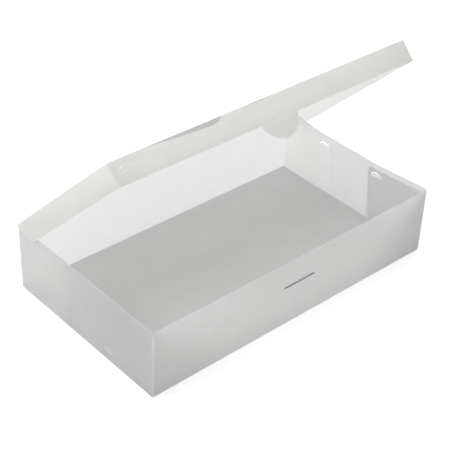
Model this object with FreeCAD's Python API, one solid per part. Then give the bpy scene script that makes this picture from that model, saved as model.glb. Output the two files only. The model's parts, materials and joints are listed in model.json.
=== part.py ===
"""Folding box for long footwear, die-cut and creased from one frosted polypropylene sheet.

Origin: the middle of the underside. +X runs along the long side, +Y towards the lid hinge, +Z up.
The lid stands open by LID_OPEN degrees. Every panel, crease and lock tab is its own solid.
Panels meet at creases: a panel that swings has a round bead on its fold line to turn about.
"""
import FreeCAD
import Part
import math
import os
from FreeCAD import Vector

os.makedirs("parts", exist_ok=True)

# Driving dimensions, in millimetres and degrees
LENGTH = 520.0            # outside, along X
WIDTH = 300.0             # outside, along Y
HEIGHT = 110.0            # floor underside to rim
SHEET = 0.8               # thickness of the sheet
RIM_CORNER = 2.0          # radius of small free corners
LID_OPEN = 44.4           # how far the lid stands open, 0 being closed

FLAP_LENGTH = 110.0       # corner flap, from the corner to its free edge
FLAP_TOP = 101.0          # height of its top edge
FLAP_LIFT = 0.4           # its lower edge clears the floor panel by this
FLAP_CORNER = 8.0         # radius of its free corners
FLAP_GAP = 0.3            # between a corner flap and the end wall outside it

RIM_GAP = 0.3             # lid underside above the rim
LID_SIDE_GAP = 2.0        # between an end wall and the lid flange beside it
LID_FRONT_GAP = 0.6       # between the front wall and the lid corner tabs
TAB_GAP = 0.1             # between a lid corner tab and the front flange over it
FLANGE_DEPTH = 34.0       # lid flanges, from the fold line to the free edge
FLANGE_CORNER = 2.0       # radius of the front flange's lower corners
CORNER_TAB_LENGTH = 35.0  # lid corner tabs, from the corner to the free end
CORNER_TAB_CORNER = 8.0

TONGUE_CHORD = 64.0       # width of the tongue at its fold line
TONGUE_DEPTH = 27.0
SLIT_LENGTH = 61.0        # slit in the front wall that takes the tongue
SLIT_HEIGHT = 4.4         # in its middle stretch; it narrows to its ends
SLIT_MIDDLE = 30.0        # length of the middle stretch
SLIT_END_RADIUS = 0.4
SLIT_BEND_RADIUS = 40.0   # where it starts to narrow
SLIT_Z = 67.5

WALL_LOCK_Y = 56.0        # half-moon locks of the end walls: distance from the middle
WALL_LOCK_CHORD = 22.0
WALL_LOCK_DEPTH = 9.0
LEFT_LOCK_Z = 15.0        # fold line of the two locks in the left end wall
RIGHT_LOCK_Z = 86.0       # fold line of the two locks in the right end wall
LID_LOCK_X = 242.5        # half-moon locks of the lid corner tabs
LID_LOCK_CHORD = 22.0
LID_LOCK_DEPTH = 8.0
LID_LOCK_DROP = 18.0      # lid fold line down to the lock's fold line
LOCK_LEAN = 12.0          # how far a lock tab leans out of its panel
LOCK_CUT = 0.4            # width of the cut round a lock tab
LOCK_WINDOW = 0.6         # extra room in the window that a lock tab passes through

BEAD = 0.4                # radius of the bead on a fold line in the middle of the sheet
INNER_BEAD = 0.35         # radius of the bead on a fold line at the inner face
BEAD_FLAT = 0.2           # from a fold line to the panel that its bead belongs to
SWING_GAP = 0.5           # from a fold line to a panel that swings about it
INNER_SWING_GAP = 0.45    # the same, for a fold line at the inner face
LID_SWING_GAP = 0.55      # the same, for the lid, which folds back past straight
FIXED_RADIUS = 0.6        # outer radius of a fixed fold

# Planes worked out from the driving dimensions
HALF = SHEET / 2
THROUGH = 4 * SHEET                                      # thickness of a cutting shape
END_MID = LENGTH / 2 - HALF                              # end walls, middle of the sheet
WALL_MID = WIDTH / 2 - HALF                              # front and back walls
WALL_INNER = WIDTH / 2 - SHEET
FLAP_MID = LENGTH / 2 - SHEET - FLAP_GAP - HALF
FLAP_INNER = FLAP_MID - HALF
WALL_END = FLAP_INNER - BEAD_FLAT                        # half length of the front and back walls
LID_MID_Z = HEIGHT + RIM_GAP + HALF                      # lid panel, when closed
FLANGE_INNER_X = LENGTH / 2 + LID_SIDE_GAP
FLANGE_MID_X = FLANGE_INNER_X + HALF
TAB_INNER_Y = -(WIDTH / 2 + LID_FRONT_GAP)
TAB_MID_Y = TAB_INNER_Y - HALF
FRONT_FOLD_Y = TAB_MID_Y - SHEET - TAB_GAP
FLANGE_LOW_Z = LID_MID_Z - FLANGE_DEPTH + BEAD_FLAT      # free edge of the lid flanges
TONGUE_FOLD_Z = LID_MID_Z - FLANGE_DEPTH

X = Vector(1, 0, 0)
Y = Vector(0, 1, 0)
Z = Vector(0, 0, 1)


def in_frame(shape, origin, across, up):
    """Places a shape drawn in its own XY plane: its X runs along across and its Y along up."""
    out = across.cross(up)
    matrix = FreeCAD.Matrix(
        across.x, up.x, out.x, origin.x,
        across.y, up.y, out.y, origin.y,
        across.z, up.z, out.z, origin.z,
        0, 0, 0, 1,
    )
    placed = shape.copy()
    placed.Placement = FreeCAD.Placement(matrix).multiply(shape.Placement)
    return placed


def outline(corners):
    """A closed wire through (x, y, radius) corners, each rounded by an arc of its radius."""
    edges = []
    ends = []
    count = len(corners)
    for i in range(count):
        before = Vector(corners[i - 1][0], corners[i - 1][1], 0)
        here = Vector(corners[i][0], corners[i][1], 0)
        after = Vector(corners[(i + 1) % count][0], corners[(i + 1) % count][1], 0)
        radius = corners[i][2]
        if radius == 0:
            ends.append((here, None, here))
            continue
        back = (before - here).normalize()
        on = (after - here).normalize()
        half_turn = back.getAngle(on) / 2
        reach = radius / math.tan(half_turn)
        middle = (back + on).normalize() * (radius / math.sin(half_turn) - radius)
        ends.append((here + back * reach, here + middle, here + on * reach))
    for i, (start, middle, end) in enumerate(ends):
        if middle is not None:
            edges.append(Part.Arc(start, middle, end).toShape())
        edges.append(Part.LineSegment(end, ends[(i + 1) % count][0]).toShape())
    return Part.Wire(edges)


def sheet_of(wire, thickness=SHEET):
    """A flat piece of sheet inside a wire in the XY plane, with the plane through its middle."""
    piece = Part.Face(wire).extrude(Vector(0, 0, thickness))
    piece.translate(Vector(0, 0, -thickness / 2))
    return piece


def rectangle(x_low, y_low, x_high, y_high, top_radius=0.0, low_radius=0.0):
    return outline([
        (x_low, y_low, low_radius),
        (x_high, y_low, low_radius),
        (x_high, y_high, top_radius),
        (x_low, y_high, top_radius),
    ])


def half_moon(chord, depth, grow=0.0, below=0.0):
    """A D outline: a straight chord on the X axis and an arc above it, grown by grow all round.

    The straight side is moved down by below.
    """
    radius = (chord ** 2 / 4 + depth ** 2) / (2 * depth)
    centre = depth - radius
    wide = radius + grow
    foot = -below
    half = math.sqrt(wide ** 2 - (foot - centre) ** 2)
    left = Vector(-half, foot, 0)
    right = Vector(half, foot, 0)
    top = Vector(0, centre + wide, 0)
    arc = Part.Arc(right, top, left).toShape()
    base = Part.LineSegment(left, right).toShape()
    return Part.Wire([base, arc])


def bead(length, radius):
    """A round bead along X, centred on the fold line, cut flat where its own panel meets it at +Y."""
    rod = Part.makeCylinder(radius, length, Vector(-length / 2, 0, 0), X)
    beyond = Part.makeBox(length, radius, 2 * radius)
    beyond.translate(Vector(-length / 2, BEAD_FLAT, -radius))
    return rod.cut(beyond)


def fixed_fold(length):
    """A fold that stays square, along X: sheet turned through 90 degrees with a round outside.

    Its panels leave towards +Y and +Z.
    """
    square = outline([
        (-HALF, -HALF, FIXED_RADIUS),
        (HALF, -HALF, 0),
        (HALF, HALF, 0),
        (-HALF, HALF, 0),
    ])
    prism = Part.Face(square).extrude(Vector(0, 0, length))
    return in_frame(prism, Vector(-length / 2, 0, 0), Y, Z)


def lock_tab(chord, depth):
    """A half-moon tab with a round root on the X axis, lying in the XY plane, free edge at +Y."""
    tab = sheet_of(half_moon(chord, depth))
    root = Part.makeCylinder(BEAD, chord, Vector(-chord / 2, 0, 0), X)
    return tab.fuse(root).removeSplitter()


def lock_cut(chord, depth):
    """The cut in a panel round its own lock tab."""
    return sheet_of(half_moon(chord, depth, LOCK_CUT, SWING_GAP), THROUGH)


def lock_window(chord, depth):
    """The window in the neighbouring panel that a leaning lock tab passes through."""
    return sheet_of(half_moon(chord, depth, LOCK_WINDOW, LOCK_WINDOW), THROUGH)


def opened(shape):
    """Turns a piece of the closed lid about the lid hinge to where the lid stands."""
    turned = shape.copy()
    turned.rotate(Vector(0, WALL_MID, LID_MID_Z), -X, LID_OPEN)
    return turned


def wall_lock_z(side):
    """Height of the fold line of the locks in the left (-1) or right (+1) end wall."""
    return LEFT_LOCK_Z if side < 0 else RIGHT_LOCK_Z


def floor_panel():
    end = END_MID - BEAD_FLAT
    return in_frame(sheet_of(rectangle(-end, -WALL_INNER, end, WALL_INNER)), Vector(0, 0, HALF), X, Y)


def front_wall():
    blank = sheet_of(rectangle(-WALL_END, SHEET, WALL_END, HEIGHT, top_radius=RIM_CORNER))
    low = SLIT_Z - SLIT_HEIGHT / 2
    high = SLIT_Z + SLIT_HEIGHT / 2
    slit = sheet_of(outline([
        (-SLIT_LENGTH / 2, SLIT_Z, SLIT_END_RADIUS),
        (-SLIT_MIDDLE / 2, low, SLIT_BEND_RADIUS),
        (SLIT_MIDDLE / 2, low, SLIT_BEND_RADIUS),
        (SLIT_LENGTH / 2, SLIT_Z, SLIT_END_RADIUS),
        (SLIT_MIDDLE / 2, high, SLIT_BEND_RADIUS),
        (-SLIT_MIDDLE / 2, high, SLIT_BEND_RADIUS),
    ]), THROUGH)
    return in_frame(blank.cut(slit), Vector(0, -WALL_MID, 0), X, Z)


def back_wall():
    top = LID_MID_Z - BEAD_FLAT
    return in_frame(sheet_of(rectangle(-WALL_END, SHEET, WALL_END, top)), Vector(0, WALL_MID, 0), X, Z)


def end_wall(side):
    wall = sheet_of(rectangle(-WIDTH / 2, HALF + SWING_GAP, WIDTH / 2, HEIGHT, top_radius=RIM_CORNER))
    cut = lock_cut(WALL_LOCK_CHORD, WALL_LOCK_DEPTH)
    for y in (-WALL_LOCK_Y, WALL_LOCK_Y):
        wall = wall.cut(in_frame(cut, Vector(y, wall_lock_z(side), 0), X, Y))
    return in_frame(wall, Vector(side * END_MID, 0, 0), Y, Z)


def wall_lock_tab(side, end):
    """The lock tab of the left or right end wall that leans in through one corner flap."""
    tab = lock_tab(WALL_LOCK_CHORD, WALL_LOCK_DEPTH)
    tab.rotate(Vector(), X, LOCK_LEAN * -side)
    return in_frame(tab, Vector(side * END_MID, end * WALL_LOCK_Y, wall_lock_z(side)), Y, Z)


def corner_flap(side, end):
    """The flap folded inwards from the front (-1) or back (+1) wall, inside an end wall."""
    near = WALL_INNER - INNER_SWING_GAP
    free = WIDTH / 2 - FLAP_LENGTH
    low = SHEET + FLAP_LIFT
    flap = sheet_of(outline([
        (free, low, FLAP_CORNER),
        (near, low, 0),
        (near, FLAP_TOP, 0),
        (free, FLAP_TOP, FLAP_CORNER),
    ]))
    window = lock_window(WALL_LOCK_CHORD, WALL_LOCK_DEPTH)
    flap = flap.cut(in_frame(window, Vector(WALL_LOCK_Y, wall_lock_z(side), 0), X, Y))
    return in_frame(flap, Vector(side * FLAP_MID, 0, 0), Y * end, Z)


def flap_crease(side, end):
    """The upright bead that a corner flap swings about, on the end of the front or back wall."""
    low = SHEET + FLAP_LIFT
    length = FLAP_TOP - low
    upright = bead(length, INNER_BEAD)
    middle = Vector(side * FLAP_INNER, end * WALL_INNER, low + length / 2)
    return in_frame(upright, middle, Z, Vector(-side, 0, 0))


def floor_crease(end):
    """The fixed fold between the floor and the front or back wall."""
    fold = fixed_fold(2 * WALL_END)
    if end > 0:
        fold.rotate(Vector(), Z, 180)
    fold.translate(Vector(0, end * WALL_MID, HALF))
    return fold


def end_crease(side):
    """The bead between the floor and an end wall, on the end of the floor panel."""
    rod = bead(2 * WALL_INNER, BEAD)
    return in_frame(rod, Vector(side * END_MID, 0, HALF), Y, Vector(-side, 0, 0))


def lid_hinge_crease():
    return in_frame(bead(2 * WALL_END, BEAD), Vector(0, WALL_MID, LID_MID_Z), X, -Z)


def lid_panel():
    side = FLANGE_MID_X - HALF
    plate = sheet_of(rectangle(-side, FRONT_FOLD_Y + BEAD_FLAT, side, WALL_MID - LID_SWING_GAP))
    return opened(in_frame(plate, Vector(0, 0, LID_MID_Z), X, Y))


def lid_side_crease(side):
    """The fixed fold between the lid panel and a side flange."""
    front = TAB_INNER_Y + BEAD_FLAT
    back = WALL_MID - LID_SWING_GAP
    fold = fixed_fold(back - front)
    fold.rotate(Vector(), Z, 90)
    fold.rotate(Vector(), Y, 180)
    if side < 0:
        fold.rotate(Vector(), Z, 180)
    fold.translate(Vector(side * FLANGE_MID_X, (front + back) / 2, LID_MID_Z))
    return opened(fold)


def lid_side_flange(side):
    """A side flange: its back end is cut on a slope so that the lid can fold right back."""
    front = TAB_INNER_Y + BEAD_FLAT
    back = WALL_MID - LID_SWING_GAP
    high = LID_MID_Z - HALF
    flange = sheet_of(outline([
        (front, FLANGE_LOW_Z, 0),
        (back - (high - FLANGE_LOW_Z), FLANGE_LOW_Z, FLAP_CORNER),
        (back, high, 0),
        (front, high, 0),
    ]))
    return opened(in_frame(flange, Vector(side * FLANGE_MID_X, 0, 0), Y, Z))


def lid_front_crease():
    length = 2 * (FLANGE_MID_X - HALF)
    return opened(in_frame(bead(length, BEAD), Vector(0, FRONT_FOLD_Y, LID_MID_Z), X, Y))


def lid_front_flange():
    side = FLANGE_MID_X + HALF
    flange = sheet_of(rectangle(
        -side, FLANGE_LOW_Z, side, LID_MID_Z - SWING_GAP, low_radius=FLANGE_CORNER
    ))
    window = lock_window(LID_LOCK_CHORD, LID_LOCK_DEPTH)
    fold_z = LID_MID_Z - LID_LOCK_DROP
    for x in (-LID_LOCK_X, LID_LOCK_X):
        flange = flange.cut(in_frame(window, Vector(x, fold_z, 0), X, Y))
    return opened(in_frame(flange, Vector(0, FRONT_FOLD_Y, 0), X, Z))


def corner_tab_crease(side):
    """The upright bead that a lid corner tab swings about, on the end of a side flange."""
    high = LID_MID_Z - HALF - RIM_GAP
    length = high - FLANGE_LOW_Z
    upright = bead(length, INNER_BEAD)
    middle = Vector(side * FLANGE_INNER_X, TAB_INNER_Y, FLANGE_LOW_Z + length / 2)
    return opened(in_frame(upright, middle, Z, Y))


def lid_corner_tab(side):
    """The tab folded inwards from a side flange, behind the front flange."""
    near = FLANGE_INNER_X - INNER_SWING_GAP
    free = FLANGE_MID_X - CORNER_TAB_LENGTH
    high = LID_MID_Z - HALF - RIM_GAP
    tab = sheet_of(outline([
        (free, FLANGE_LOW_Z, CORNER_TAB_CORNER),
        (near, FLANGE_LOW_Z, 0),
        (near, high, 0),
        (free, high, RIM_CORNER),
    ]))
    cut = lock_cut(LID_LOCK_CHORD, LID_LOCK_DEPTH)
    fold_z = LID_MID_Z - LID_LOCK_DROP
    tab = tab.cut(in_frame(cut, Vector(LID_LOCK_X, fold_z, 0), X, Y))
    return opened(in_frame(tab, Vector(0, TAB_MID_Y, 0), X * side, Z))


def lid_lock_tab(side):
    """The lock tab of a lid corner tab, which leans out through the front flange."""
    tab = lock_tab(LID_LOCK_CHORD, LID_LOCK_DEPTH)
    tab.rotate(Vector(), X, LOCK_LEAN)
    fold_z = LID_MID_Z - LID_LOCK_DROP
    return opened(in_frame(tab, Vector(side * LID_LOCK_X, TAB_MID_Y, fold_z), X, Z))


def tongue_crease():
    rod = bead(TONGUE_CHORD - 2 * SHEET, BEAD)
    return opened(in_frame(rod, Vector(0, FRONT_FOLD_Y, TONGUE_FOLD_Z), X, Z))


def lid_tongue():
    """The tongue: a half-round tab below the middle of the front flange."""
    tongue = sheet_of(half_moon(TONGUE_CHORD, TONGUE_DEPTH, below=-SWING_GAP))
    return opened(in_frame(tongue, Vector(0, FRONT_FOLD_Y, TONGUE_FOLD_Z), -X, -Z))


def pieces():
    """Every piece of the box, by name."""
    sides = {"left": -1, "right": 1}
    ends = {"front": -1, "back": 1}
    made = {
        "floor_panel": floor_panel(),
        "front_wall": front_wall(),
        "back_wall": back_wall(),
        "lid_hinge_crease": lid_hinge_crease(),
        "lid_panel": lid_panel(),
        "lid_front_crease": lid_front_crease(),
        "lid_front_flange": lid_front_flange(),
        "lid_tongue_crease": tongue_crease(),
        "lid_tongue": lid_tongue(),
    }
    for end_name, end in ends.items():
        made[f"{end_name}_floor_crease"] = floor_crease(end)
    for side_name, side in sides.items():
        made[f"{side_name}_floor_crease"] = end_crease(side)
        made[f"{side_name}_end_wall"] = end_wall(side)
        made[f"lid_{side_name}_crease"] = lid_side_crease(side)
        made[f"lid_{side_name}_flange"] = lid_side_flange(side)
        made[f"lid_{side_name}_corner_crease"] = corner_tab_crease(side)
        made[f"lid_{side_name}_corner_tab"] = lid_corner_tab(side)
        made[f"lid_{side_name}_lock_tab"] = lid_lock_tab(side)
        for end_name, end in ends.items():
            made[f"{end_name}_{side_name}_flap"] = corner_flap(side, end)
            made[f"{end_name}_{side_name}_flap_crease"] = flap_crease(side, end)
            made[f"{end_name}_{side_name}_lock_tab"] = wall_lock_tab(side, end)
    return made


for name, shape in pieces().items():
    shape.exportStep(f"parts/{name}.step")
    box = shape.BoundBox
    print(
        f"{name:28s} solids {len(shape.Solids)} valid {shape.isValid()} volume {shape.Volume:9.2f} "
        f"x {box.XMin:8.2f} {box.XMax:8.2f} y {box.YMin:8.2f} {box.YMax:8.2f} "
        f"z {box.ZMin:7.2f} {box.ZMax:7.2f}"
    )
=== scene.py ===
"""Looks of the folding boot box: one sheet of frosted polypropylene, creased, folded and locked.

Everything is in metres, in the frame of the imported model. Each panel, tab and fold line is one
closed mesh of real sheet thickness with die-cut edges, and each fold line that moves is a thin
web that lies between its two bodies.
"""

import json
import math

import bpy
import numpy as np
from mathutils import Matrix, Vector, noise
from mathutils.geometry import delaunay_2d_cdt


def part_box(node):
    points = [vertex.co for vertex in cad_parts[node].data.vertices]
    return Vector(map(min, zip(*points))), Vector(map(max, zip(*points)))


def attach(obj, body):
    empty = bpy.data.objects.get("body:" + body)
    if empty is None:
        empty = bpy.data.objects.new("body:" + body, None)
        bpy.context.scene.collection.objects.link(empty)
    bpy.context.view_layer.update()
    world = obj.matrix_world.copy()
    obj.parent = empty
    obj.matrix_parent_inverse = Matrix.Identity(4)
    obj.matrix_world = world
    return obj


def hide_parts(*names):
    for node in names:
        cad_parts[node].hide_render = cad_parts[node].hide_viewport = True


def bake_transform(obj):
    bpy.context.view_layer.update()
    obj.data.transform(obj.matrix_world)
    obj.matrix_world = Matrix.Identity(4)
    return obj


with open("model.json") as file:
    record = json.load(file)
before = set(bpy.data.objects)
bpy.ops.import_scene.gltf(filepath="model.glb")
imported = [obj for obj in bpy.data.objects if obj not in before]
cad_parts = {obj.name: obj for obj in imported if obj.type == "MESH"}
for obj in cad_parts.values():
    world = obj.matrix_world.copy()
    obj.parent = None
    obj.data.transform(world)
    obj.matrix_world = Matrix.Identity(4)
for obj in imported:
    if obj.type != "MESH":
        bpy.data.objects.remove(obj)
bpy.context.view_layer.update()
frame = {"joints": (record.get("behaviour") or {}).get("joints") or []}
joints = {joint["name"]: joint for joint in frame["joints"]}

MM = 0.001
X, Y, Z = Vector((1, 0, 0)), Vector((0, 1, 0)), Vector((0, 0, 1))
ORIGIN = Vector((0, 0, 0))
SIDES = {"left": -1, "right": 1}
ENDS = {"front": -1, "back": 1}

# The sheet
SHEET = 0.8 * MM
HALF = SHEET / 2
EDGE_ROUND = 0.12 * MM        # how far a cut edge is rounded
EDGE_BLUNT = 0.65             # share of the thickness that stays upright at a cut edge
COINED = 0.6                  # share of the thickness left where a fold line was pressed
RINGS = (0.0, EDGE_ROUND, 0.9 * MM, 2.2 * MM)
RING_GLOW = (1.0, 1.0, 0.55, 0.0)

# Fold lines: from the corner of two mid planes to the panel on either side
KEEP = 0.2 * MM               # to the panel that stays
SWING = 0.5 * MM              # to the panel that swings
INNER_SWING = 0.45 * MM       # the same, for a fold that turns about its inner face
LID_SWING_GAP = 0.55 * MM     # the same, for the lid

# The box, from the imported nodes
front_low, front_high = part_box("front_wall")
BACK_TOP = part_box("back_wall")[1].z
right_low, right_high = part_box("right_end_wall")
flap_low, flap_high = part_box("front_right_flap")
FLOOR_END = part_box("floor_panel")[1].x
HEIGHT = right_high.z
WIDTH = right_high.y - right_low.y
WALL_END = front_high.x
END_MID = right_high.x - HALF
WALL_MID = -front_low.y - HALF
WALL_INNER = WALL_MID - HALF
FLAP_MID = flap_high.x - HALF
FLAP_INNER = FLAP_MID - HALF
FLAP_FREE = -flap_high.y
FLAP_NEAR = -flap_low.y
FLAP_CORNER = 8 * MM
RIM_CORNER = 2 * MM

# The half-moon locks of the end walls
WALL_LOCK_Y = 56 * MM
LOCK_CHORD = 22 * MM
WALL_LOCK_DEPTH = 9 * MM
LID_LOCK_DEPTH = 8 * MM
LOCK_Z = {-1: 15 * MM, 1: 86 * MM}
LOCK_LEAN = math.radians(12)
LOCK_CUT = 0.15 * MM          # width of the cut round a tab
BOWED_ROOM = 1.3 * MM         # how much smaller the right wall's tabs are: its bow carries them
                              # away from their axis, so they climb as they turn
LOCK_CURL = 5.0               # per metre: bends its free edge further out
LOCK_WINDOW = 0.35 * MM       # extra room in the window that a tab passes through

# The slit in the front wall
SLIT_LENGTH = 61 * MM
SLIT_HEIGHT = 2.0 * MM        # the sheet has sprung part of the way back
SLIT_MIDDLE = 30 * MM
SLIT_END = 0.15 * MM          # radius of its ends
SLIT_BEND = 40 * MM           # radius where it starts to narrow
SLIT_Z = 67.5 * MM

# The lid, drawn closed and then opened about its hinge
HINGE = Vector(joints["lid_hinge"]["pos_m"])
LID_OPEN = math.radians(-joints["lid_hinge"]["range_deg"][0])
LID_MID_Z = HINGE.z
LID_FRONT_GAP = 0.6 * MM      # between the front wall and the lid corner tabs
TAB_GAP = 0.1 * MM            # between a corner tab and the front flange over it
FLANGE_INNER_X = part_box("lid_right_flange")[0].x
FLANGE_MID_X = FLANGE_INNER_X + HALF
FLANGE_DEPTH = 34 * MM
FLANGE_LOW_Z = LID_MID_Z - FLANGE_DEPTH + KEEP
FLANGE_CORNER = 2 * MM
FLANGE_SLOPE = 20 * MM        # how far the back end of a side flange is cut back at its free edge
TAB_INNER_Y = -WIDTH / 2 - LID_FRONT_GAP
TAB_MID_Y = TAB_INNER_Y - HALF
FRONT_FOLD_Y = TAB_MID_Y - SHEET - TAB_GAP
TAB_LENGTH = 35 * MM
LID_LOCK_X = 242.5 * MM
LID_LOCK_Z = LID_MID_Z - 18 * MM
TAB_TOP_Z = LID_MID_Z - HALF - 0.3 * MM   # just under the lid panel
LID_BACK_Y = WALL_MID - LID_SWING_GAP
LID_FRONT_Y = TAB_INNER_Y + KEEP
TONGUE_CHORD = 64 * MM
TONGUE_DEPTH = 27 * MM
TONGUE_EASE = 1 * MM          # how far its fold line stops short of either end
TONGUE_CURL = 1.2             # per metre: bends its free edge inwards
TONGUE_FOLD_Z = LID_MID_Z - FLANGE_DEPTH


# ---------------------------------------------------------------- camera, light and floor

CAMERA_PLACE = Vector((-1.00196, -1.07734, 1.12517))
CAMERA_AZIMUTH = math.radians(-42.813)
CAMERA_ELEVATION = math.radians(35.507)
CAMERA_ROLL = math.radians(2.483)
CAMERA_LENS = 99.07


def add_camera():
    """A long lens from the front left, looking down into the box."""
    level = math.cos(CAMERA_ELEVATION)
    back = Vector((math.sin(CAMERA_AZIMUTH) * level, -math.cos(CAMERA_AZIMUTH) * level,
                   math.sin(CAMERA_ELEVATION)))
    right = Z.cross(back).normalized()
    up = back.cross(right)
    rolled_right = right * math.cos(CAMERA_ROLL) + up * math.sin(CAMERA_ROLL)
    rolled_up = up * math.cos(CAMERA_ROLL) - right * math.sin(CAMERA_ROLL)
    data = bpy.data.cameras.new("camera")
    data.sensor_width = 36
    data.lens = CAMERA_LENS
    camera = bpy.data.objects.new("camera", data)
    bpy.context.scene.collection.objects.link(camera)
    axes = Matrix((rolled_right, rolled_up, back)).transposed()
    camera.matrix_world = Matrix.LocRotScale(CAMERA_PLACE, axes.to_quaternion(), None)
    bpy.context.scene.camera = camera


def add_area(name, place, width, power):
    """A square white light, turned to the box."""
    data = bpy.data.lights.new(name, "AREA")
    data.shape = "SQUARE"
    data.size = width
    data.energy = power
    light = bpy.data.objects.new(name, data)
    bpy.context.scene.collection.objects.link(light)
    light.location = place
    light.rotation_euler = (ORIGIN - Vector(place)).to_track_quat("-Z", "Y").to_euler()


def add_world():
    """White to look at, and nearly dark as a light."""
    world = bpy.data.worlds.new("studio")
    bpy.context.scene.world = world
    world.use_nodes = True
    nodes, links = world.node_tree.nodes, world.node_tree.links
    nodes.clear()
    out = nodes.new("ShaderNodeOutputWorld")
    mix = nodes.new("ShaderNodeMixShader")
    seen = nodes.new("ShaderNodeBackground")
    light = nodes.new("ShaderNodeBackground")
    path = nodes.new("ShaderNodeLightPath")
    seen.inputs["Color"].default_value = (1, 1, 1, 1)
    light.inputs["Color"].default_value = (1, 1, 1, 1)
    light.inputs["Strength"].default_value = 0.02
    links.new(path.outputs["Is Camera Ray"], mix.inputs[0])
    links.new(light.outputs[0], mix.inputs[1])
    links.new(seen.outputs[0], mix.inputs[2])
    links.new(mix.outputs[0], out.inputs["Surface"])


def add_floor():
    """The plain white ground that the box stands on."""
    size = 6.0
    mesh = bpy.data.meshes.new("studio_floor")
    low = -0.0004
    mesh.from_pydata([(-size, -size, low), (size, -size, low), (size, size, low), (-size, size, low)],
                     [], [(0, 1, 2, 3)])
    floor = bpy.data.objects.new("studio_floor", mesh)
    bpy.context.scene.collection.objects.link(floor)
    material = bpy.data.materials.new("studio_white")
    material.use_nodes = True
    surface = material.node_tree.nodes["Principled BSDF"]
    surface.inputs["Base Color"].default_value = (0.66, 0.66, 0.66, 1)
    surface.inputs["Roughness"].default_value = 0.9
    surface.inputs["Specular IOR Level"].default_value = 0.1
    surface.inputs["Emission Color"].default_value = (1, 1, 1, 1)
    nodes, links = material.node_tree.nodes, material.node_tree.links
    path = nodes.new("ShaderNodeLightPath")
    lift = nodes.new("ShaderNodeMath")
    lift.operation = "MULTIPLY"
    lift.inputs[1].default_value = 0.62
    links.new(path.outputs["Is Camera Ray"], lift.inputs[0])
    links.new(lift.outputs[0], surface.inputs["Emission Strength"])
    mesh.materials.append(material)


add_camera()
bpy.context.scene.view_settings.view_transform = "Standard"
add_world()
add_area("key", (2.2, 1.4, 1.6), width=2.5, power=58)
add_area("back", (-0.8, 2.0, 2.4), width=2.5, power=26)
add_area("side", (-2.4, 1.2, 1.6), width=2.0, power=51)
add_area("top", (0, 0, 3.2), width=2.5, power=56)
add_floor()


# ---------------------------------------------------------------- materials

SKIN_SHARE = 0.32             # of the light that the sheet stops, how much its skin sends back
MOTTLE = 0.08                 # how much its density varies from place to place
MOTTLE_TONE = 0.95            # share of its colour that is left in its darkest patches


def add_noise(tree, place, scale, detail, roughness=0.5):
    """Noise in the piece's own coordinates."""
    texture = tree.nodes.new("ShaderNodeTexNoise")
    texture.inputs["Scale"].default_value = scale
    texture.inputs["Detail"].default_value = detail
    texture.inputs["Roughness"].default_value = roughness
    tree.links.new(place.outputs["Object"], texture.inputs["Vector"])
    return texture


def add_bump(tree, texture, strength, distance):
    """The texture as relief."""
    bump = tree.nodes.new("ShaderNodeBump")
    bump.inputs["Strength"].default_value = strength
    bump.inputs["Distance"].default_value = distance
    tree.links.new(texture.outputs["Fac"], bump.inputs["Height"])
    return bump


def add_scaled(tree, value, factor):
    """The value times the factor, plus the third input, kept within 0 to 1."""
    scaled = tree.nodes.new("ShaderNodeMath")
    scaled.operation = "MULTIPLY_ADD"
    scaled.use_clamp = True
    tree.links.new(value, scaled.inputs[0])
    scaled.inputs[1].default_value = factor
    return scaled


def add_mix(tree, first, second):
    """Two shaders mixed. Input 0 is the second one's share."""
    mix = tree.nodes.new("ShaderNodeMixShader")
    tree.links.new(first.outputs[0], mix.inputs[1])
    tree.links.new(second.outputs[0], mix.inputs[2])
    return mix


def add_skin(tree, painted_glow):
    """The sheet's satin surface. painted_glow is its emission, a painted glow that stands in for light
    that runs inside the sheet and leaves it there.
    """
    skin = tree.nodes.new("ShaderNodeBsdfPrincipled")
    skin.inputs["Roughness"].default_value = 0.42
    skin.inputs["IOR"].default_value = 1.49
    skin.inputs["Specular IOR Level"].default_value = 0.45
    skin.inputs["Emission Color"].default_value = (1, 1, 0.99, 1)
    skin.inputs["Emission Strength"].default_value = painted_glow
    return skin


def add_tone(tree, cloud, tint):
    """The sheet's colour, a little darker in patches."""
    tone = tree.nodes.new("ShaderNodeMix")
    tone.data_type = "RGBA"
    tone.inputs["A"].default_value = (*[c * MOTTLE_TONE for c in tint], 1)
    tone.inputs["B"].default_value = (*tint, 1)
    tree.links.new(cloud.outputs["Fac"], tone.inputs["Factor"])
    return tone


def add_grain(tree, place, grain):
    """Slow waves under a fine grain."""
    rolling = add_bump(tree, add_noise(tree, place, scale=9, detail=1), strength=0.25, distance=4 * MM)
    fine = add_bump(tree, add_noise(tree, place, scale=900, detail=2), grain, distance=0.2 * MM)
    tree.links.new(rolling.outputs["Normal"], fine.inputs["Normal"])
    return fine


def add_density(tree, cloud, density, glow):
    """The share of light that the sheet stops, which rises at its outer edges and in patches."""
    edge = tree.nodes.new("ShaderNodeAttribute")
    edge.attribute_name = "glow"
    amount = add_scaled(tree, edge.outputs["Fac"], glow)
    amount.inputs[2].default_value = density
    mottle = add_scaled(tree, cloud.outputs["Fac"], MOTTLE)
    tree.links.new(amount.outputs[0], mottle.inputs[2])
    return mottle


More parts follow.
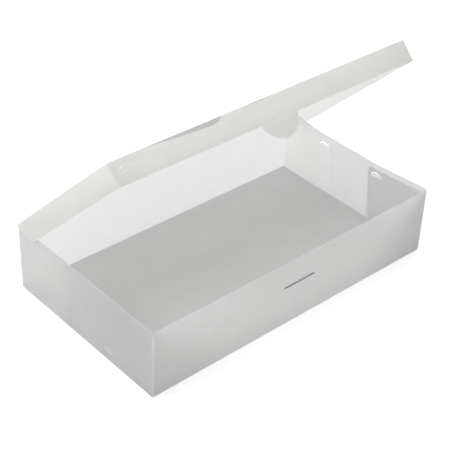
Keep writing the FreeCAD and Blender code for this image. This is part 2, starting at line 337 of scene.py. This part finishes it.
def shader_sheet(name, density, glow, tint, grain, painted_glow=0.0):
    """Frosted polypropylene, seen once through its two faces.

    Some light goes straight through, some is spread through it, and the rest comes back off its
    fine grain. It is denser at its outer edges, where it was cut or pressed.
    """
    material = bpy.data.materials.new(name)
    material.use_nodes = True
    tree = material.node_tree
    nodes, links = tree.nodes, tree.links
    nodes.clear()
    out = nodes.new("ShaderNodeOutputMaterial")
    clear = nodes.new("ShaderNodeBsdfTransparent")
    clear.inputs["Color"].default_value = (0.97, 0.97, 0.965, 1)
    spread = nodes.new("ShaderNodeBsdfTranslucent")
    skin = add_skin(tree, painted_glow)

    place = nodes.new("ShaderNodeTexCoord")
    cloud = add_noise(tree, place, scale=14, detail=4, roughness=0.55)
    tone = add_tone(tree, cloud, tint)
    fine = add_grain(tree, place, grain)
    links.new(tone.outputs["Result"], skin.inputs["Base Color"])
    links.new(tone.outputs["Result"], spread.inputs["Color"])
    links.new(fine.outputs["Normal"], skin.inputs["Normal"])
    links.new(fine.outputs["Normal"], spread.inputs["Normal"])

    body = add_mix(tree, spread, skin)
    body.inputs[0].default_value = SKIN_SHARE
    film = add_mix(tree, clear, body)
    links.new(add_density(tree, cloud, density, glow).outputs[0], film.inputs[0])
    once = add_mix(tree, film, nodes.new("ShaderNodeBsdfTransparent"))
    geometry = nodes.new("ShaderNodeNewGeometry")
    links.new(geometry.outputs["Backfacing"], once.inputs[0])
    links.new(once.outputs[0], out.inputs["Surface"])
    return material


# The box's floor, walls and front flaps take a darker copy of the lid's sheet: their lower tint is
# painted shade on the same sheet.
BOX_SHADE_SHEET = shader_sheet("frosted_sheet", density=0.84, glow=0.08, tint=(0.905, 0.905, 0.905), grain=0.18)
LID_SHEET = shader_sheet("clearer_sheet", density=0.84, glow=0.08, tint=(0.975, 0.977, 0.955), grain=0.18)
# The back flaps' copy of the sheet is thinner and glows: painted light on the same sheet.
BACK_FLAP_LIT = shader_sheet("back_flap_painted_light", density=0.5, glow=0.1, tint=(0.985, 0.985, 0.98), grain=0.18,
                     painted_glow=0.4)
# The lid's corner tabs' copy is thinner and glows: painted light that also takes out their shadow on the
# flange.
CORNER_TAB_LIT = shader_sheet("corner_tab_painted_light", density=0.3, glow=0.1, tint=(0.985, 0.985, 0.975), grain=0.18,
                      painted_glow=0.2)
# The fold lines are whiter where they were pressed, and glow with a painted highlight.
CREASE_GLOW = shader_sheet("pressed_crease_painted_glow", density=0.86, glow=0.0, tint=(0.985, 0.985, 0.98), grain=0.08,
                       painted_glow=0.3)
# The slit's edges are painted dark: painted shade for the gap behind it.
SLIT_SHADE = shader_sheet("slit_painted_shade", density=0.97, glow=0.0, tint=(0.12, 0.12, 0.12), grain=0.1)
LOCKED = shader_sheet("lock_tab_sheet", density=0.86, glow=0.0, tint=(0.95, 0.95, 0.945), grain=0.18)
# The dents of the lid's front fold are painted darker: painted shade.
KINK_SHADE = shader_sheet("kink_painted_shade", density=0.84, glow=0.0, tint=(0.62, 0.62, 0.645), grain=0.18)
# The cut edges are a little whiter and glow with a painted highlight.
CUT_EDGE_GLOW = shader_sheet("cut_edge_painted_glow", density=0.88, glow=0.0, tint=(0.95, 0.95, 0.945), grain=0.3, painted_glow=0.25)


# ---------------------------------------------------------------- outlines, in a panel's own plane

ARC_STEP = math.radians(15)
MOON_STEPS = 18
MITRE_LIMIT = 0.4             # keeps the inset of a sharp corner short


def outline(corners, kinds=None):
    """Points round (x, y, radius) corners, with arcs at the corners, and the kind of each edge.

    kinds[i] is "cut" or "fold" for the straight edge that leaves corner i.
    """
    kinds = kinds or ["cut"] * len(corners)
    points = []
    for i, (x, y, radius) in enumerate(corners):
        here = Vector((x, y))
        before = Vector(corners[i - 1][:2])
        after = Vector(corners[(i + 1) % len(corners)][:2])
        if radius == 0:
            points.append((here, kinds[i]))
            continue
        back = (before - here).normalized()
        on = (after - here).normalized()
        half_turn = back.angle(on) / 2
        centre = here + (back + on).normalized() * (radius / math.sin(half_turn))
        start = here + back * (radius / math.tan(half_turn)) - centre
        sweep = math.pi - 2 * half_turn
        if back.x * on.y - back.y * on.x > 0:
            sweep = -sweep
        steps = max(2, round(abs(sweep) / ARC_STEP))
        for step in range(steps + 1):
            turned = start.copy()
            turned.rotate(Matrix.Rotation(sweep * step / steps, 2))
            points.append((centre + turned, "cut" if step < steps else kinds[i]))
    return points


def half_moon(chord, depth, grow=0.0, below=0.0, root="cut"):
    """A half moon, open side down, whose arc is grown by grow.

    Its chord lies on the X axis, or lower by below, and root is the kind of that edge.
    """
    radius = (chord ** 2 / 4 + depth ** 2) / (2 * depth)
    centre = depth - radius
    wide = radius + grow
    start = math.asin((-below - centre) / wide)
    points = []
    for step in range(MOON_STEPS + 1):
        angle = start + (math.pi - 2 * start) * step / MOON_STEPS
        kind = root if step == MOON_STEPS else "cut"
        points.append((Vector((wide * math.cos(angle), centre + wide * math.sin(angle))), kind))
    return points


def spaced(points, spacing):
    """The same outline with its long straight edges divided."""
    result = []
    for i, (here, kind) in enumerate(points):
        after = points[(i + 1) % len(points)][0]
        parts = max(1, math.ceil((after - here).length / spacing))
        for part in range(parts):
            result.append((here.lerp(after, part / parts), kind))
    return result


def area_of(points):
    """The area inside the outline, positive where it runs anticlockwise."""
    total = 0.0
    for i, (here, _) in enumerate(points):
        after = points[(i + 1) % len(points)][0]
        total += here.x * after.y - here.y * after.x
    return total / 2


def turned_round(points):
    """The same outline run the other way, each edge keeping its kind."""
    count = len(points)
    return [(points[-i][0], points[-i - 1][1]) for i in range(count)]


def inset(points, distance):
    """The outline moved to its left, into the material, by distance."""
    ring = []
    for i, (here, _) in enumerate(points):
        before = (here - points[i - 1][0]).normalized()
        after = (points[(i + 1) % len(points)][0] - here).normalized()
        first, second = Vector((-before.y, before.x)), Vector((-after.y, after.x))
        mitre = (first + second) / max(1 + first.dot(second), MITRE_LIMIT)
        ring.append(here + mitre * distance)
    return ring


def inside(points, polygon):
    """Which of the points lie inside the polygon, both as arrays of x, y."""
    x, y = points[:, 0][:, None], points[:, 1][:, None]
    ax, ay = polygon[:, 0], polygon[:, 1]
    bx, by = np.roll(ax, -1), np.roll(ay, -1)
    crosses = (ay > y) != (by > y)
    rise = np.where(by == ay, 1.0, by - ay)
    at = ax + (y - ay) / rise * (bx - ax)
    return (crosses & (x < at)).sum(1) % 2 == 1


def clearance(points, polygon):
    """How far each point lies from the polygon's line."""
    a = polygon[None]
    b = np.roll(polygon, -1, 0)[None]
    p = points[:, None]
    along = b - a
    share = ((p - a) * along).sum(2) / np.maximum((along ** 2).sum(2), 1e-18)
    nearest = a + along * np.clip(share, 0, 1)[..., None]
    return np.sqrt(((p - nearest) ** 2).sum(2)).min(1)


# ---------------------------------------------------------------- sheet pieces

def axes_at(origin, across, up):
    """A panel's own axes: x runs along across, y along up, and z out of the panel."""
    out = across.cross(up)
    return Matrix.Translation(origin) @ Matrix((across, up, out)).transposed().to_4x4()


def standing(place):
    """Where a place of the box stands, which isn't opened like the lid."""
    return place


def opened(place):
    """From the closed lid to where the lid stands."""
    return HINGE + Matrix.Rotation(-LID_OPEN, 3, "X") @ (place - HINGE)


def finished(name, vertices, faces, glow, surfaces, materials, body):
    """The mesh object of one piece, which rides on its body unless body is None.

    surfaces gives the place of each face's material in materials.
    """
    mesh = bpy.data.meshes.new(name)
    mesh.from_pydata(vertices, [], faces)
    mesh.attributes.new("glow", "FLOAT", "POINT").data.foreach_set("value", glow)
    for material in materials:
        mesh.materials.append(material)
    for face in mesh.polygons:
        face.use_smooth = True
        face.material_index = surfaces[face.index]
    mesh.set_sharp_from_angle(angle=math.radians(40))
    mesh.validate()
    piece = bpy.data.objects.new(name, mesh)
    bpy.context.scene.collection.objects.link(piece)
    if body:
        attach(piece, body)
    return piece


class Plan:
    """The flat plan of a sheet piece.

    It holds points, the lines that the mesh has to keep, and at each point the share of the
    thickness that is left there and how much it glows.
    """

    def __init__(self):
        self.points, self.share, self.glow, self.lines = [], [], [], []

    def add(self, places, share, glow):
        self.points += places
        self.share += share
        self.glow += glow

    def add_plain(self, places):
        """Points of full thickness that don't glow."""
        self.add(places, [1.0] * len(places), [0.0] * len(places))

    def add_lines_round(self, first, count):
        """A closed line through count points."""
        self.lines += [(first + i, first + (i + 1) % count) for i in range(count)]

    def add_rings(self, points, bright):
        """An outline and its rings further in, thinner at a pressed fold and blunt where it is cut."""
        folded = [kind == "fold" for _, kind in points]
        folds = [(here + folded[i - 1]) / 2 for i, here in enumerate(folded)]
        for ring, distance in enumerate(RINGS):
            thin = COINED if ring < 2 else 1.0
            blunt = EDGE_BLUNT if ring == 0 else 1.0
            share = [thin * fold + blunt * (1 - fold) for fold in folds]
            self.add_lines_round(len(self.points), len(points))
            self.add(inset(points, distance), share, [RING_GLOW[ring] * bright] * len(points))

    def mesh(self):
        """Meshes the plan, and gives its triangles and the place that each point took in the mesh.

        It works in millimetres, where the mesher's tolerance is far below the rings' spacing.
        """
        in_mm = [point / MM for point in self.points]
        meshed, _, triangles, origins, *_ = delaunay_2d_cdt(in_mm, self.lines, [], 0, 1e-6)
        self.points = [place * MM for place in meshed]
        self.share = [self.share[group[0]] if group else 1.0 for group in origins]
        self.glow = [self.glow[group[0]] if group else 0.0 for group in origins]
        return triangles, {first: i for i, group in enumerate(origins) for first in group}


def run_round(outer, holes, spacing):
    """The outer outline run anticlockwise and the holes clockwise, with long edges divided."""
    loops = []
    for i, points in enumerate([outer, *holes]):
        if (area_of(points) > 0) != (i == 0):
            points = turned_round(points)
        loops.append(spaced(points, spacing))
    return loops


def in_sheet(points, edges):
    """Which of the points lie inside the outer edge and outside the holes."""
    kept = inside(points, edges[0])
    for edge in edges[1:]:
        kept &= ~inside(points, edge)
    return kept


def filling(edges, patches, spacing):
    """A grid of points in the sheet, clear of its edges and patches."""
    low, high = edges[0].min(0), edges[0].max(0)
    columns = np.arange(low[0] + spacing / 2, high[0], spacing)
    rows = np.arange(low[1] + spacing / 2, high[1], spacing)
    grid = np.stack(np.meshgrid(columns, rows), -1).reshape(-1, 2)
    keep = in_sheet(grid, edges)
    for edge in edges + patches:
        keep &= clearance(grid, edge) > RINGS[-1] + spacing / 3
    return [Vector(place) for place in grid[keep]]


# Where the materials stand in a sheet piece's list
SKIN_PLACE, CUT_PLACE, KINK_SHADE_PLACE, HOLE_PLACE = range(4)


def face_surfaces(centres, edges, patches, shaded_holes):
    """The place of each triangle's material: the skin, the painted shade of a dent, or the painted shade
    round a hole's edge.
    """
    surfaces = np.full(len(centres), SKIN_PLACE)
    for patch in patches:
        surfaces[inside(centres, patch)] = KINK_SHADE_PLACE
    if shaded_holes:
        for edge in edges[1:]:
            surfaces[clearance(centres, edge) < RINGS[2]] = HOLE_PLACE
    return surfaces.tolist()


def two_faces(plan, axes, bow, curl, stand):
    """The plan's points on the sheet's two faces, curled, bowed and opened with the lid."""
    out = (axes.to_3x3() @ Z).normalized()
    vertices = []
    for face in (1, -1):
        for point, share in zip(plan.points, plan.share):
            place = axes @ Vector((point.x, point.y, 0))
            bent = curl(point.x, point.y) if curl else 0.0
            vertices.append(stand(place + bow(place) + out * (bent + face * share * HALF)))
    return vertices


def sheet_piece(node, body, axes, outer, holes=(), *, bow, curl=None, stand=standing,
                spacing=12 * MM, skin=BOX_SHADE_SHEET, hole_edge=None, kinks=()):
    """A panel or tab: its outline cut from sheet, with pressed fold lines and rounded cut edges.

    bow gives how far a place on the flat panel has moved, curl how far a point of the panel's own
    plane has bent out of it, and stand takes a place of the closed lid to the open one. kinks are
    the outlines of dented patches, which are painted darker as shade. hole_edge is the material of
    the holes' edges, if not skin; for the slit it is painted shade.
    """
    loops = run_round(outer, holes, spacing)
    edges = [np.array([tuple(p) for p, _ in points]) for points in loops]
    patches = [np.array([tuple(p) for p in kink]) for kink in kinks]
    plan, starts = Plan(), []
    for i, points in enumerate(loops):
        starts.append(len(plan.points))
        plan.add_rings(points, 0.0 if i else 1.0)
    for kink in kinks:
        plan.add_lines_round(len(plan.points), len(kink))
        plan.add_plain(kink)
    plan.add_plain(filling(edges, patches, spacing))
    triangles, became = plan.mesh()

    centres = [sum((plan.points[v] for v in t), Vector((0, 0))) / 3 for t in triangles]
    centres = np.array([tuple(centre) for centre in centres])
    keep = in_sheet(centres, edges)
    triangles = [t for t, kept in zip(triangles, keep) if kept]
    surfaces = face_surfaces(centres[keep], edges, patches, hole_edge) * 2

    count = len(plan.points)
    faces = [tuple(t) for t in triangles]
    faces += [(a + count, c + count, b + count) for a, b, c in triangles]
    for first, points in zip(starts, loops):
        edge_place = HOLE_PLACE if first else CUT_PLACE
        for i, (_, kind) in enumerate(points):
            a, b = became[first + i], became[first + (i + 1) % len(points)]
            faces.append((b, a, a + count, b + count))
            surfaces.append(edge_place if kind == "cut" else SKIN_PLACE)
    piece = finished(node + "_sheet", two_faces(plan, axes, bow, curl, stand), faces, plan.glow * 2,
                     surfaces, [skin, CUT_EDGE_GLOW, KINK_SHADE, hole_edge or skin], body)
    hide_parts(node)


WEB_STEPS = 8                 # round a fold line's bend
WEB_SPACING = 10 * MM         # along it
WEB_WAIST = 0.12              # how much thinner it gets in its bend, as a share of the sheet


def web_ring(begin, corner, finish, along):
    """A fold line's cross-section: pressed sheet that bends round the corner."""
    profile = []
    for step in range(WEB_STEPS + 1):
        t = step / WEB_STEPS
        middle = begin * (1 - t) ** 2 + corner * (2 * t * (1 - t)) + finish * t ** 2
        run = ((corner - begin) * (1 - t) + (finish - corner) * t).normalized()
        thick = HALF * (COINED - WEB_WAIST * math.sin(math.pi * t))
        profile.append((middle, along.cross(run) * thick))
    return [middle + side for middle, side in profile] + [middle - side for middle, side in profile[::-1]]


def crease_piece(node, start, along, length, corner, to_first, to_second, bodies, stand=standing,
                 reach=(KEEP, SWING)):
    """A fold line: a thin web of pressed sheet from the edge of one panel to the edge of another.

    corner is where the two mid planes meet, as an offset from the fold line. to_first and
    to_second point from there along the two panels, and reach is how far away they begin.
    bodies is one body, which the web rides on, or the two bodies that it lies between, in which case it
    is left unattached in place.
    """
    begin, finish = corner + to_first * reach[0], corner + to_second * reach[1]
    ring = web_ring(begin, corner, finish, along)
    size = len(ring)
    rows = max(2, math.ceil(length / WEB_SPACING))
    vertices, faces = [], []
    for row in range(rows + 1):
        base = start + along * (length * row / rows)
        vertices += [stand(base + point) for point in ring]
    for row in range(rows):
        for i in range(size):
            a, b = row * size + i, row * size + (i + 1) % size
            faces.append((b, a, a + size, b + size))
    last = rows * size
    for i in range(WEB_STEPS):
        j = size - 2 - i
        faces.append((i, i + 1, j, j + 1))
        faces.append((last + i + 1, last + i, last + j + 1, last + j))
    two = isinstance(bodies, tuple)
    piece = finished(node + "_web", vertices, faces, [0.0] * len(vertices), [0] * len(faces),
                     [CREASE_GLOW], None if two else bodies)
    if two:
        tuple(stand(start + begin))
        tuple(stand(start + finish))
        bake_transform(piece)
    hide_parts(node)


# ---------------------------------------------------------------- how the sheet bows

def ripple(u, v, seed, size):
    """Slow random waves, -1 to 1, over a plane."""
    return noise.noise(Vector((u / size, v / size, seed)))


def pinned(value, reach, ends):
    """0 at both ends of -reach to reach and 1 further than ends from them."""
    t = min(max((reach - abs(value)) / ends, 0.0), 1.0)
    return t * t * (3 - 2 * t)


RIGHT_BOW = 8 * MM            # how far the right end wall's rim has bent in
LEFT_BOW = 1.2 * MM
END_WAVE = 0.7 * MM           # slow waves of the end walls
FRONT_BOW = 1.0 * MM          # belly of the front wall, inside the lid's front flange
FRONT_WAVE = 0.5 * MM
FRONT_HELD = 0.82             # share of a half wave from the floor to its free rim
BACK_BOW = 2.0 * MM
BACK_WAVE = 0.8 * MM
FLOOR_BOW = 0.5 * MM
LID_CROWN = 1.3 * MM
LID_WAVE = 0.9 * MM
SIDE_FLANGE_BOW = 0.9 * MM
FRONT_FLANGE_BOW = 1.4 * MM


def end_bow(side):
    """An end wall's free rim leans in, most in its middle."""
    depth = RIGHT_BOW if side > 0 else LEFT_BOW

    def bow(place):
        rise = min(max(place.z / HEIGHT, 0.0), 1.05)
        across = pinned(place.y, WIDTH / 2, 100 * MM)
        inwards = depth * rise ** 1.6 * across
        inwards += END_WAVE * across * pinned(rise - 0.5, 0.5, 0.5) * ripple(place.y, place.z, side, 0.07)
        return X * (-side * inwards)
    return bow


def wall_bow(end):
    """The front wall's rim is free and moves with its belly; the lid's fold line holds the back one."""
    front = end < 0
    depth, wave, held = (FRONT_BOW, FRONT_WAVE, FRONT_HELD) if front else (BACK_BOW, BACK_WAVE, 1.0)

    def bow(place):
        rise = min(max(place.z / HEIGHT, 0.0), 1.0)
        across = pinned(place.x, WALL_END, 120 * MM)
        belly = math.sin(math.pi * rise * held) * depth
        free = pinned(rise - 0.5, 0.5, 0.4)
        waves = wave * free * across * ripple(place.x, place.z, 3 + end, 0.09)
        return Y * (end * (belly * across + waves))
    return bow


def floor_bow(place):
    """The floor panel stands a little off the ground between its folds."""
    across = pinned(place.x, END_MID, 60 * MM) * pinned(place.y, WALL_INNER, 60 * MM)
    return Z * (FLOOR_BOW * across * (1 + ripple(place.x, place.y, 9, 0.12)))


KINKS = (                     # dents of the lid's front fold, as (x, depth) below the fold line
    ((-205 * MM, 0.3 * MM), (-160 * MM, 4.2 * MM), (-130 * MM, 6.2 * MM), (-101 * MM, 7.6 * MM),
     (-91 * MM, 6.2 * MM), (-81 * MM, 0.3 * MM)),
    ((-42 * MM, 0.3 * MM), (-20 * MM, 2.0 * MM), (3 * MM, 0.3 * MM)),
)
KINK_RIDGE = 0.22             # how far a dent's lower edge stands out, as a share of its depth
KINK_FADE = 14 * MM           # below that, how soon it has flattened out
KINK_MARGIN = 0.3 * MM        # from the flange's upper edge to a dent's outline
KINK_LEAST = 0.2 * MM         # least height of a dent's outline
KINK_SPACING = 8 * MM         # of the points on it


def lid_bow(place):
    """The lid panel crowns a little."""
    half = (WALL_MID - FRONT_FOLD_Y) / 2
    across = pinned(place.x, FLANGE_MID_X, 90 * MM)
    along = pinned(place.y + half - WALL_MID, half, 70 * MM)
    return Z * ((LID_CROWN + LID_WAVE * ripple(place.x, place.y, 5, 0.13)) * across * along)


def flange_bow(side):
    """A side flange waves outwards a little at its free edge."""
    def bow(place):
        down = min(max((LID_MID_Z - place.z) / FLANGE_DEPTH, 0.0), 1.0)
        along = pinned(place.y, WIDTH / 2, 80 * MM)
        waves = 0.8 + ripple(place.y, place.z, 11 + side, 0.1)
        return X * (side * SIDE_FLANGE_BOW * down * along * waves)
    return bow


def kink_depth(x):
    """How far below the fold line the lower edge of a dent runs at x, or 0."""
    for kink in KINKS:
        for (x_low, low), (x_high, high) in zip(kink, kink[1:]):
            if x_low <= x <= x_high:
                return low + (high - low) * (x - x_low) / (x_high - x_low)
    return 0.0


def kinked_bow(place):
    """The front flange waves outwards a little and stands out along its dents."""
    depth = kink_depth(place.x)
    down = LID_MID_Z - place.z
    if down < depth:
        ridge = down / depth
    else:
        ridge = max(1 - (down - depth) / KINK_FADE, 0.0) ** 2
    return front_bow(place) - Y * (KINK_RIDGE * depth * ridge)


def front_bow(place):
    """The front flange, and the corner tabs and tongue on it, wave outwards a little."""
    down = min(max((LID_MID_Z - place.z) / FLANGE_DEPTH, 0.0), 1.0)
    along = pinned(place.x, FLANGE_MID_X, 90 * MM)
    return Y * (-FRONT_FLANGE_BOW * down * along * (0.7 + ripple(place.x, 0.0, 17, 0.11)))


# ---------------------------------------------------------------- the box

def rectangle(x_low, y_low, x_high, y_high, kinds, top=0.0):
    """Its edges are low, right, high and left, and top is the radius of the two high corners."""
    return outline([(x_low, y_low, 0), (x_high, y_low, 0), (x_high, y_high, top), (x_low, y_high, top)],
                   kinds)


def moved(points, shift):
    """The outline moved by the shift."""
    return [(shift + point, kind) for point, kind in points]


def lock_tab(name, axes, depth, lean, bow, stand=standing, room=0.0):
    """A half-moon tab that leans out of its panel and curls a little towards its free edge."""
    tilted = axes @ Matrix.Rotation(lean, 4, "X")
    curve = math.copysign(LOCK_CURL, lean)
    sheet_piece(name, name, tilted, half_moon(LOCK_CHORD, depth, -room, root="fold"), bow=bow,
                curl=lambda x, y: curve * y * y, stand=stand, spacing=3 * MM, skin=LOCKED)


def make_floor():
    sheet_piece("floor_panel", "box", axes_at(Z * HALF, X, Y),
                rectangle(-FLOOR_END, -WALL_INNER, FLOOR_END, WALL_INNER, kinds=["fold"] * 4),
                bow=floor_bow)


def make_front_wall():
    low, high = SLIT_Z - SLIT_HEIGHT / 2, SLIT_Z + SLIT_HEIGHT / 2
    slit = outline([(-SLIT_LENGTH / 2, SLIT_Z, SLIT_END), (-SLIT_MIDDLE / 2, low, SLIT_BEND),
                    (SLIT_MIDDLE / 2, low, SLIT_BEND), (SLIT_LENGTH / 2, SLIT_Z, SLIT_END),
                    (SLIT_MIDDLE / 2, high, SLIT_BEND), (-SLIT_MIDDLE / 2, high, SLIT_BEND)])
    # The slit's edges take the painted shade.
    sheet_piece("front_wall", "box", axes_at(Y * -WALL_MID, X, Z),
                rectangle(-WALL_END, SHEET, WALL_END, HEIGHT, top=RIM_CORNER,
                          kinds=["fold", "fold", "cut", "fold"]),
                [slit], bow=wall_bow(-1), hole_edge=SLIT_SHADE)


def make_back_wall():
    sheet_piece("back_wall", "box", axes_at(Y * WALL_MID, X, Z),
                rectangle(-WALL_END, SHEET, WALL_END, BACK_TOP, kinds=["fold"] * 4), bow=wall_bow(1))


def make_end_wall(name, side):
    cut = half_moon(LOCK_CHORD, WALL_LOCK_DEPTH, LOCK_CUT, SWING)
    sheet_piece(f"{name}_end_wall", f"{name}_end_wall", axes_at(X * (side * END_MID), Y, Z),
                rectangle(-WIDTH / 2, right_low.z, WIDTH / 2, HEIGHT, top=RIM_CORNER,
                          kinds=["fold", "cut", "cut", "cut"]),
                [moved(cut, Vector((y, LOCK_Z[side]))) for y in (-WALL_LOCK_Y, WALL_LOCK_Y)],
                bow=end_bow(side))


def make_flap(name, side, end):
    """A corner flap against an end wall, with the window for the wall's lock tab."""
    room = BOWED_ROOM if side > 0 else 0.0
    window = half_moon(LOCK_CHORD, WALL_LOCK_DEPTH, LOCK_WINDOW - room / 2, LOCK_WINDOW)
    shape = outline([(FLAP_FREE, flap_low.z, FLAP_CORNER), (FLAP_NEAR, flap_low.z, 0),
                     (FLAP_NEAR, flap_high.z, 0), (FLAP_FREE, flap_high.z, FLAP_CORNER)],
                    ["cut", "fold", "cut", "cut"])
    # The back flaps take the painted-light copy of the sheet, the front ones the painted-shade copy.
    sheet_piece(name, name, axes_at(X * (side * FLAP_MID), Y * end, Z), shape,
                [moved(window, Vector((WALL_LOCK_Y, LOCK_Z[side])))], bow=end_bow(side),
                skin=BACK_FLAP_LIT if end > 0 else BOX_SHADE_SHEET)


def make_wall_lock(name, side, end):
    root = Vector((side * END_MID, end * WALL_LOCK_Y, LOCK_Z[side]))
    lock_tab(name, axes_at(root, Y, Z), WALL_LOCK_DEPTH, -side * LOCK_LEAN, end_bow(side),
             room=BOWED_ROOM if side > 0 else 0.0)


def make_floor_creases():
    for name, end in ENDS.items():
        crease_piece(f"{name}_floor_crease", Vector((-WALL_END, end * WALL_MID, HALF)), X, 2 * WALL_END,
                     ORIGIN, -Y * end, Z, "box", reach=(HALF, HALF))


def make_end_creases(name, side):
    """The fold lines of an end wall and of the two flaps against it."""
    crease_piece(f"{name}_floor_crease", Vector((side * END_MID, -WALL_INNER, HALF)), Y, 2 * WALL_INNER,
                 ORIGIN, -X * side, Z, ("box", f"{name}_end_wall"))
    for end_name, end in ENDS.items():
        flap = f"{end_name}_{name}_flap"
        fold = Vector((side * FLAP_INNER, end * WALL_INNER, flap_low.z))
        crease_piece(f"{flap}_crease", fold, Z, flap_high.z - flap_low.z,
                     (X * side + Y * end) * HALF, -X * side, -Y * end, ("box", flap),
                     reach=(HALF + KEEP, HALF + INNER_SWING))


# ---------------------------------------------------------------- the lid

def kink_outline(kink):
    """A dent's outline on the front flange, up to just inside the flange's upper edge."""
    top = LID_MID_Z - SWING - KINK_MARGIN
    lower = [Vector((x, min(LID_MID_Z - depth, top - KINK_LEAST))) for x, depth in kink[1:-1]]
    start, end = Vector((kink[0][0], top)), Vector((kink[-1][0], top))
    line = [start, *lower, end]
    points = []
    for here, after in zip(line, line[1:] + [start]):
        parts = math.ceil((after - here).length / KINK_SPACING)
        points += [here.lerp(after, part / parts) for part in range(parts)]
    return points


def make_lid_panel():
    sheet_piece("lid_panel", "lid", axes_at(Z * LID_MID_Z, X, Y),
                rectangle(-FLANGE_INNER_X, FRONT_FOLD_Y + KEEP, FLANGE_INNER_X, LID_BACK_Y,
                          kinds=["fold"] * 4),
                bow=lid_bow, stand=opened, spacing=7 * MM, skin=LID_SHEET)


def make_front_flange():
    window = half_moon(LOCK_CHORD, LID_LOCK_DEPTH, LOCK_WINDOW, LOCK_WINDOW)
    windows = [moved(window, Vector((x, LID_LOCK_Z))) for x in (-LID_LOCK_X, LID_LOCK_X)]
    end, chord, high = FLANGE_MID_X + HALF, TONGUE_CHORD / 2, LID_MID_Z - SWING
    # The dents' outlines also mark the patches painted darker as shade.
    sheet_piece("lid_front_flange", "lid_front_flange", axes_at(Y * FRONT_FOLD_Y, X, Z),
                outline([(-end, FLANGE_LOW_Z, FLANGE_CORNER), (-chord, FLANGE_LOW_Z, 0),
                         (chord, FLANGE_LOW_Z, 0), (end, FLANGE_LOW_Z, FLANGE_CORNER),
                         (end, high, 0), (-end, high, 0)],
                        ["cut", "fold", "cut", "cut", "fold", "cut"]),
                windows, bow=kinked_bow, stand=opened, spacing=8 * MM, skin=LID_SHEET,
                kinks=[kink_outline(kink) for kink in KINKS])


def make_tongue():
    moon = half_moon(TONGUE_CHORD - TONGUE_EASE, TONGUE_DEPTH - SWING, root="fold")
    sheet_piece("lid_tongue", "lid_tongue", axes_at(Vector((0, FRONT_FOLD_Y, TONGUE_FOLD_Z)), -X, -Z),
                moved(moon, Vector((0, SWING))),
                bow=lambda place: front_bow(Vector((place.x, place.y, TONGUE_FOLD_Z))),
                curl=lambda x, y: -TONGUE_CURL * y * y, stand=opened, spacing=5 * MM, skin=LID_SHEET)


def make_side_flange(name, side):
    high = LID_MID_Z - HALF
    sheet_piece(f"lid_{name}_flange", "lid", axes_at(X * (side * FLANGE_MID_X), Y, Z),
                outline([(LID_FRONT_Y, FLANGE_LOW_Z, 0),
                         (LID_BACK_Y - FLANGE_SLOPE, FLANGE_LOW_Z, FLAP_CORNER),
                         (LID_BACK_Y, high, 0), (LID_FRONT_Y, high, 0)],
                        ["cut", "cut", "fold", "fold"]),
                bow=flange_bow(side), stand=opened, skin=LID_SHEET)


def make_corner_tab(name, side):
    cut = half_moon(LOCK_CHORD, LID_LOCK_DEPTH, LOCK_CUT, SWING)
    free, near = FLANGE_MID_X - TAB_LENGTH, FLANGE_INNER_X - INNER_SWING
    # The corner tab takes the painted-light copy of the sheet.
    sheet_piece(name, name, axes_at(Y * TAB_MID_Y, X * side, Z),
                outline([(free, FLANGE_LOW_Z, FLAP_CORNER), (near, FLANGE_LOW_Z, 0),
                         (near, TAB_TOP_Z, 0), (free, TAB_TOP_Z, RIM_CORNER)],
                        ["cut", "fold", "cut", "cut"]),
                [moved(cut, Vector((LID_LOCK_X, LID_LOCK_Z)))], bow=front_bow, stand=opened,
                spacing=8 * MM, skin=CORNER_TAB_LIT)


def make_lid_lock(name, side):
    root = Vector((side * LID_LOCK_X, TAB_MID_Y, LID_LOCK_Z))
    lock_tab(name, axes_at(root, X, Z), LID_LOCK_DEPTH, LOCK_LEAN, front_bow, stand=opened)


def make_long_lid_creases():
    """The fold lines of the hinge, the front flange and the tongue."""
    lid_way = Matrix.Rotation(-LID_OPEN, 3, "X") @ -Y
    crease_piece("lid_hinge_crease", Vector((-WALL_END, HINGE.y, HINGE.z)), X, 2 * WALL_END, ORIGIN,
                 -Z, lid_way, ("box", "lid"), reach=(KEEP, LID_SWING_GAP))
    crease_piece("lid_front_crease", Vector((-FLANGE_INNER_X, FRONT_FOLD_Y, LID_MID_Z)), X,
                 2 * FLANGE_INNER_X, ORIGIN, Y, -Z, ("lid", "lid_front_flange"), stand=opened)
    tongue_fold = Vector((-TONGUE_CHORD / 2 + TONGUE_EASE, FRONT_FOLD_Y, TONGUE_FOLD_Z))
    crease_piece("lid_tongue_crease", tongue_fold, X, TONGUE_CHORD - 2 * TONGUE_EASE, ORIGIN, Z, -Z,
                 ("lid_front_flange", "lid_tongue"), stand=opened)


def make_side_lid_creases(name, side):
    """The fold lines of a side flange and of the corner tab on it."""
    crease_piece(f"lid_{name}_crease", Vector((side * FLANGE_MID_X, LID_FRONT_Y, LID_MID_Z)), Y,
                 LID_BACK_Y - LID_FRONT_Y, ORIGIN, -X * side, -Z, "lid", stand=opened,
                 reach=(HALF, HALF))
    crease_piece(f"lid_{name}_corner_crease", Vector((side * FLANGE_INNER_X, TAB_INNER_Y, FLANGE_LOW_Z)),
                 Z, TAB_TOP_Z - FLANGE_LOW_Z, (X * side - Y) * HALF, Y, -X * side,
                 ("lid", f"lid_{name}_corner_tab"), stand=opened,
                 reach=(HALF + KEEP, HALF + INNER_SWING))


make_floor()
make_front_wall()
make_back_wall()
for name, side in SIDES.items():
    make_end_wall(name, side)
    for end_name, end in ENDS.items():
        make_flap(f"{end_name}_{name}_flap", side, end)
        make_wall_lock(f"{end_name}_{name}_lock_tab", side, end)
make_floor_creases()
for name, side in SIDES.items():
    make_end_creases(name, side)

make_lid_panel()
make_front_flange()
make_tongue()
for name, side in SIDES.items():
    make_side_flange(name, side)
    make_corner_tab(f"lid_{name}_corner_tab", side)
    make_lid_lock(f"lid_{name}_lock_tab", side)
make_long_lid_creases()
for name, side in SIDES.items():
    make_side_lid_creases(name, side)
